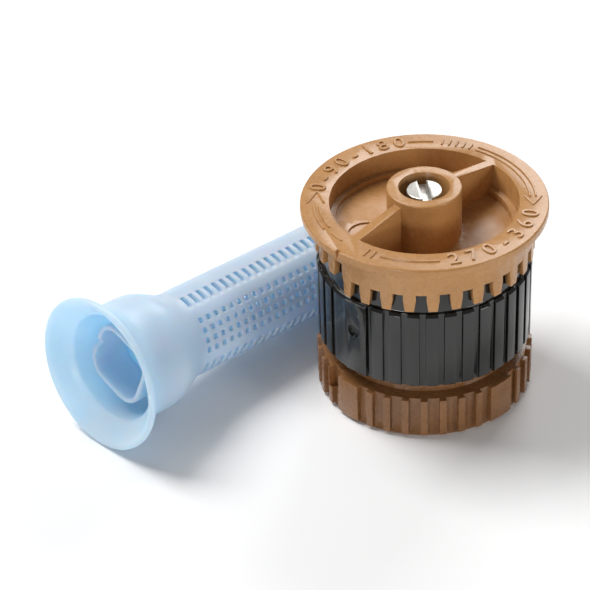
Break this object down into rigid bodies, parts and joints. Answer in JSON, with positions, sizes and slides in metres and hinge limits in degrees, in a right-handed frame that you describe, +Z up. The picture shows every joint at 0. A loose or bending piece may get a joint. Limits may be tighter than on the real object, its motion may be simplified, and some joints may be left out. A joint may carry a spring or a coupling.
{
  "type": "variable arc spray nozzle with filter screen",
  "caption": "Adjustable-arc spray nozzle for a pop-up sprinkler riser, with a turning fluted collar, toothed deflector, throttle screw and loose tubular filter screen.",
  "frame": {"origin": "centre of the riser thread's mouth, in the plane of the surface that the nozzle and the loose screen stand on", "axes": "+Z up along the nozzle's axis; +X to the right and +Y away when the nozzle is seen with its smooth collar pad at the front left"},
  "size_m": [0.0483, 0.035, 0.0219],
  "materials": {
    "base_plastic": "satin moulded plastic",
    "deflector_plastic": "satin moulded plastic",
    "collar_plastic": "semi-gloss moulded plastic",
    "washer_plastic": "natural acetal",
    "stainless": "bright stainless steel",
    "seal_rubber": "moulded rubber",
    "screen_plastic": "translucent moulded polypropylene"
  },
  "bodies": {
    "nozzle_body": {"nozzle_base": "base_plastic", "deflector": "deflector_plastic", "retaining_ring": "stainless", "collar_seal": "seal_rubber", "screw_seal": "seal_rubber", "collar_spring": "stainless"},
    "washer": {"thrust_washer": "washer_plastic"},
    "collar": {"arc_collar": "collar_plastic"},
    "throttle": {"throttle_disc": "washer_plastic"},
    "screw": {"adjusting_screw": "stainless", "screw_clip": "stainless"},
    "screen": {"filter_screen": "screen_plastic"}
  },
  "joints": [
    {"name": "arc_lead", "type": "slide", "parent": "nozzle_body", "child": "washer", "axis": [0, 0, -1], "range_m": [0, 0.0015], "deforming": ["collar_spring"]},
    {"name": "arc_turn", "type": "hinge", "parent": "washer", "child": "collar", "pos_m": [0, 0, 0.0122], "axis": [0, 0, -1], "range_deg": [0, 360]},
    {"name": "throttle_lead", "type": "slide", "parent": "nozzle_body", "child": "throttle", "axis": [0, 0, -1], "range_m": [0, 0.0012]},
    {"name": "screw_turn", "type": "hinge", "parent": "throttle", "child": "screw", "pos_m": [0, 0, 0.0209], "axis": [0, 0, -1], "range_deg": [0, 1080]},
    {"name": "screen_lift", "type": "slide", "parent": "nozzle_body", "child": "screen", "axis": [-0.5213, 0.4777, 0.7071], "range_m": [0, 0.03]}
  ],
  "couplings": [
    {"joint": "arc_turn", "follows": "arc_lead", "rad_per_m": 4188.8},
    {"joint": "screw_turn", "follows": "throttle_lead", "rad_per_m": 15708}
  ]
}
